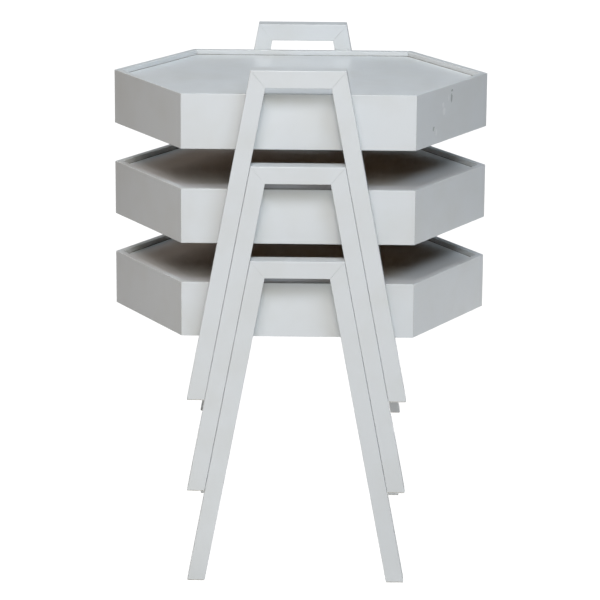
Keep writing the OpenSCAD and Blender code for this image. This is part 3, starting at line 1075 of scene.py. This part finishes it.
# %% Glue
for level in LEVELS:
    node = f"{level}_corner_blocks"
    work = clean_copy(node)
    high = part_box(node)[1]
    paths = bmesh.new()
    for face in work.faces:
        if len(face.verts) == 3 and face.normal.z < 0:
            # The block's tip is the corner furthest from the middle of the tray.
            first, second, tip = sorted((v.co for v in face.verts), key=lambda c: c.xy.length)
            above = [Vector((c.x, c.y, high.z)) for c in (first, second)]
            loop = [paths.verts.new(c) for c in (above[0], first, tip, second, above[1])]
            for a, b in zip(loop, loop[1:] + loop[:1]):
                paths.edges.new((a, b))
    work.free()
    lay_bead("glue_beads", node, as_mesh(paths, "glue path"), GLUE_BEAD, level)

# %% [markdown]
# ## Dust in the floor's joint
# The floor meets the rails without a seal, and dust and polish settle there and draw a thin
# dark line round the tray. Paint on a texture could do it, but a line that follows a path is
# once more a bead: the same tree sweeps a finer, straighter one along the panel's outline.

# %% Dust
DUST_LINE = {
    "Bead Radius": 0.45 * MM, "Wander": 0.1 * MM, "Point Spacing": 12 * MM, "Seed": 11.0,
    "Finish": settled_dust}

for level in LEVELS:
    node = f"{level}_floor_panel"
    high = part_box(node)[1]
    top = [v.co for v in frame["nodes"][node].data.vertices if v.co.z > high.z - TOLERANCE]
    outline = sorted({(round(c.x, 6), round(c.y, 6)) for c in top}, key=lambda c: math.atan2(c[1], c[0]))
    count = len(outline)
    path = bpy.data.meshes.new("joint path")
    path.from_pydata([(x, y, high.z) for x, y in outline], [(i, (i + 1) % count) for i in range(count)], [])
    lay_bead("joint_dust", node, path, DUST_LINE, level)

# %% [markdown]
# ## The floor and the backdrop
# The set stands on a wide sheet of white paper. A studio lights such paper until it is
# brighter than the furniture and every shadow on it has gone. A modelled studio would need
# many lights for that, so here the paper simply glows. Its underside is clear, so that the
# tables can be looked at from below. The world behind it is white to the camera and black to
# the furniture, which leaves the lighting to the lamps.

# %% Floor and backdrop
# Paper in full studio light is plain white: a glow a little over white hides every shadow.
PAPER = "#FFFFFF"
GLOW = 1.1
# Half the side of the sheet, in metres: it ends too far off to be seen.
HALF_SHEET = 40

paper, put, skin = new_finish("brightly_lit_white_paper", "ShaderNodeMixShader")
glow = put("ShaderNodeEmission", {"Color": linear(PAPER), "Strength": GLOW})
clear = put("ShaderNodeBsdfTransparent")
is_underside = put("ShaderNodeNewGeometry").outputs["Backfacing"]
feed(skin, {0: is_underside, 1: glow, 2: clear})

sheet_mesh = bpy.data.meshes.new("paper_floor")
sheet_corners = [(x * HALF_SHEET, y * HALF_SHEET, 0) for x, y in ((-1, -1), (1, -1), (1, 1), (-1, 1))]
sheet_mesh.from_pydata(sheet_corners, [], [(0, 1, 2, 3)])
sheet = new_piece("paper_floor", sheet_mesh, paper)
sheet.visible_diffuse = False
sheet.visible_glossy = False
sheet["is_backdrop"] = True

world = bpy.data.worlds.new("white_backdrop")
bpy.context.scene.world = world
world.use_nodes = True
world.node_tree.nodes.clear()
put = node_adder(world.node_tree)
seen = put("ShaderNodeLightPath").outputs["Is Camera Ray"]
backdrop = put("ShaderNodeBackground", {"Color": linear(PAPER), "Strength": seen})
put("ShaderNodeOutputWorld", {"Surface": backdrop})
print("floor:", sheet.name, "world:", world.name)

# %% [markdown]
# ## The lamps
# Soft light comes from large sources close by. Three softboxes stand in front, the strongest
# of them on the right, and make the fronts brighter than the sides. Weaker ones fill from high
# on the left and from behind, and sheets of light lying on the floor stand for the light that
# the paper throws back up. Two lamps never match exactly, so each box has its own slight tint.
# The first table gives each box's direction round the tables and its height above the floor,
# both as angles in degrees, its two sides in metres, its power in watts and its tint.

# %% Lamp tables
SOFTBOXES = {
    # name: (direction, height, width, depth, watts, colour)
    "main_front": (2, 31, 0.9, 0.9, 23.6, "#FFF9EE"),
    "main_right": (30, 41, 1.4, 0.7, 31.6, "#E3EFFF"),
    "main_left": (-9, 47, 1.0, 0.8, 27.4, "#FFFAFD"),
    "high_left": (-80, 76, 1.5, 1.5, 15.0, "#F4FDFF"),
    "rear_left": (-120, 30, 1.4, 1.2, 20.9, "#FFEADC"),
    "rear_high": (180, 50, 1.6, 1.6, 20.4, "#E1F2FF"),
}
BOUNCE = {
    # name: (centre x, centre y, width, depth, watts)
    "bounce_left": (-1.0, -1.45, 2.0, 2.3, 13.2),
    "bounce_right": (1.0, -1.45, 2.0, 2.3, 8.9),
    "bounce_side": (1.15, 0.6, 1.7, 1.8, 8.0),
    "bounce_behind": (0.0, 1.9, 3.4, 2.6, 24.5),
    "bounce_under": (0.0, 0.0, 0.6, 0.6, 0.8),
}
print("lamps:", len(SOFTBOXES) + len(BOUNCE))

# %% [markdown]
# ## Setting up the lamps
# Every box stands at the same distance from the middle of the set and looks at it. The sheets
# lie a hair above the paper and look up, so that even the thin pads under the feet catch
# their light. An area light is used for all: a point or a sun would draw hard shadows.

# %% Lamps
BOX_DISTANCE = 3.2
SHEET_HEIGHT = 0.1 * MM
middle_of_set = Vector((0, 0, 0.5))


def softbox(name, place, aim, width, depth, watts, colour):
    """A rectangular area light that the camera doesn't see."""
    light = bpy.data.lights.new(name, "AREA")
    light.shape = "RECTANGLE"
    light.size, light.size_y = width, depth
    light.energy = watts
    light.color = linear(colour)[:3]
    lamp = bpy.data.objects.new(name, light)
    lamp.location = place
    lamp.rotation_mode = "QUATERNION"
    lamp.rotation_quaternion = aim.to_track_quat("-Z", "Y")
    lamp.visible_camera = False
    # A box at the rear would mirror itself in the top tray as one hard glare.
    lamp.visible_glossy = not name.startswith("rear")
    bpy.context.scene.collection.objects.link(lamp)


for name, (direction, height, width, depth, watts, colour) in SOFTBOXES.items():
    turn, lift = math.radians(direction), math.radians(height)
    outward = Vector((math.sin(turn) * math.cos(lift), -math.cos(turn) * math.cos(lift), math.sin(lift)))
    softbox(name, middle_of_set + outward * BOX_DISTANCE, -outward, width, depth, watts, colour)
for name, (x, y, width, depth, watts) in BOUNCE.items():
    softbox(name, Vector((x, y, SHEET_HEIGHT)), Vector((0, 0, 1)), width, depth, watts, "#FFFFFF")
bpy.context.scene.view_settings.view_transform = "Standard"
print("watts in all:", round(sum(light.energy for light in bpy.data.lights), 1))

# %% [markdown]
# ## Measure and finish
# The dressed tables must fill the same box as the solids that they stand on, so the box of the
# dressed tables is printed.

# %% Measure and finish
low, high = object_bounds()
print("visual size in mm:", [round((b - a) / MM, 1) for a, b in zip(low, high)])
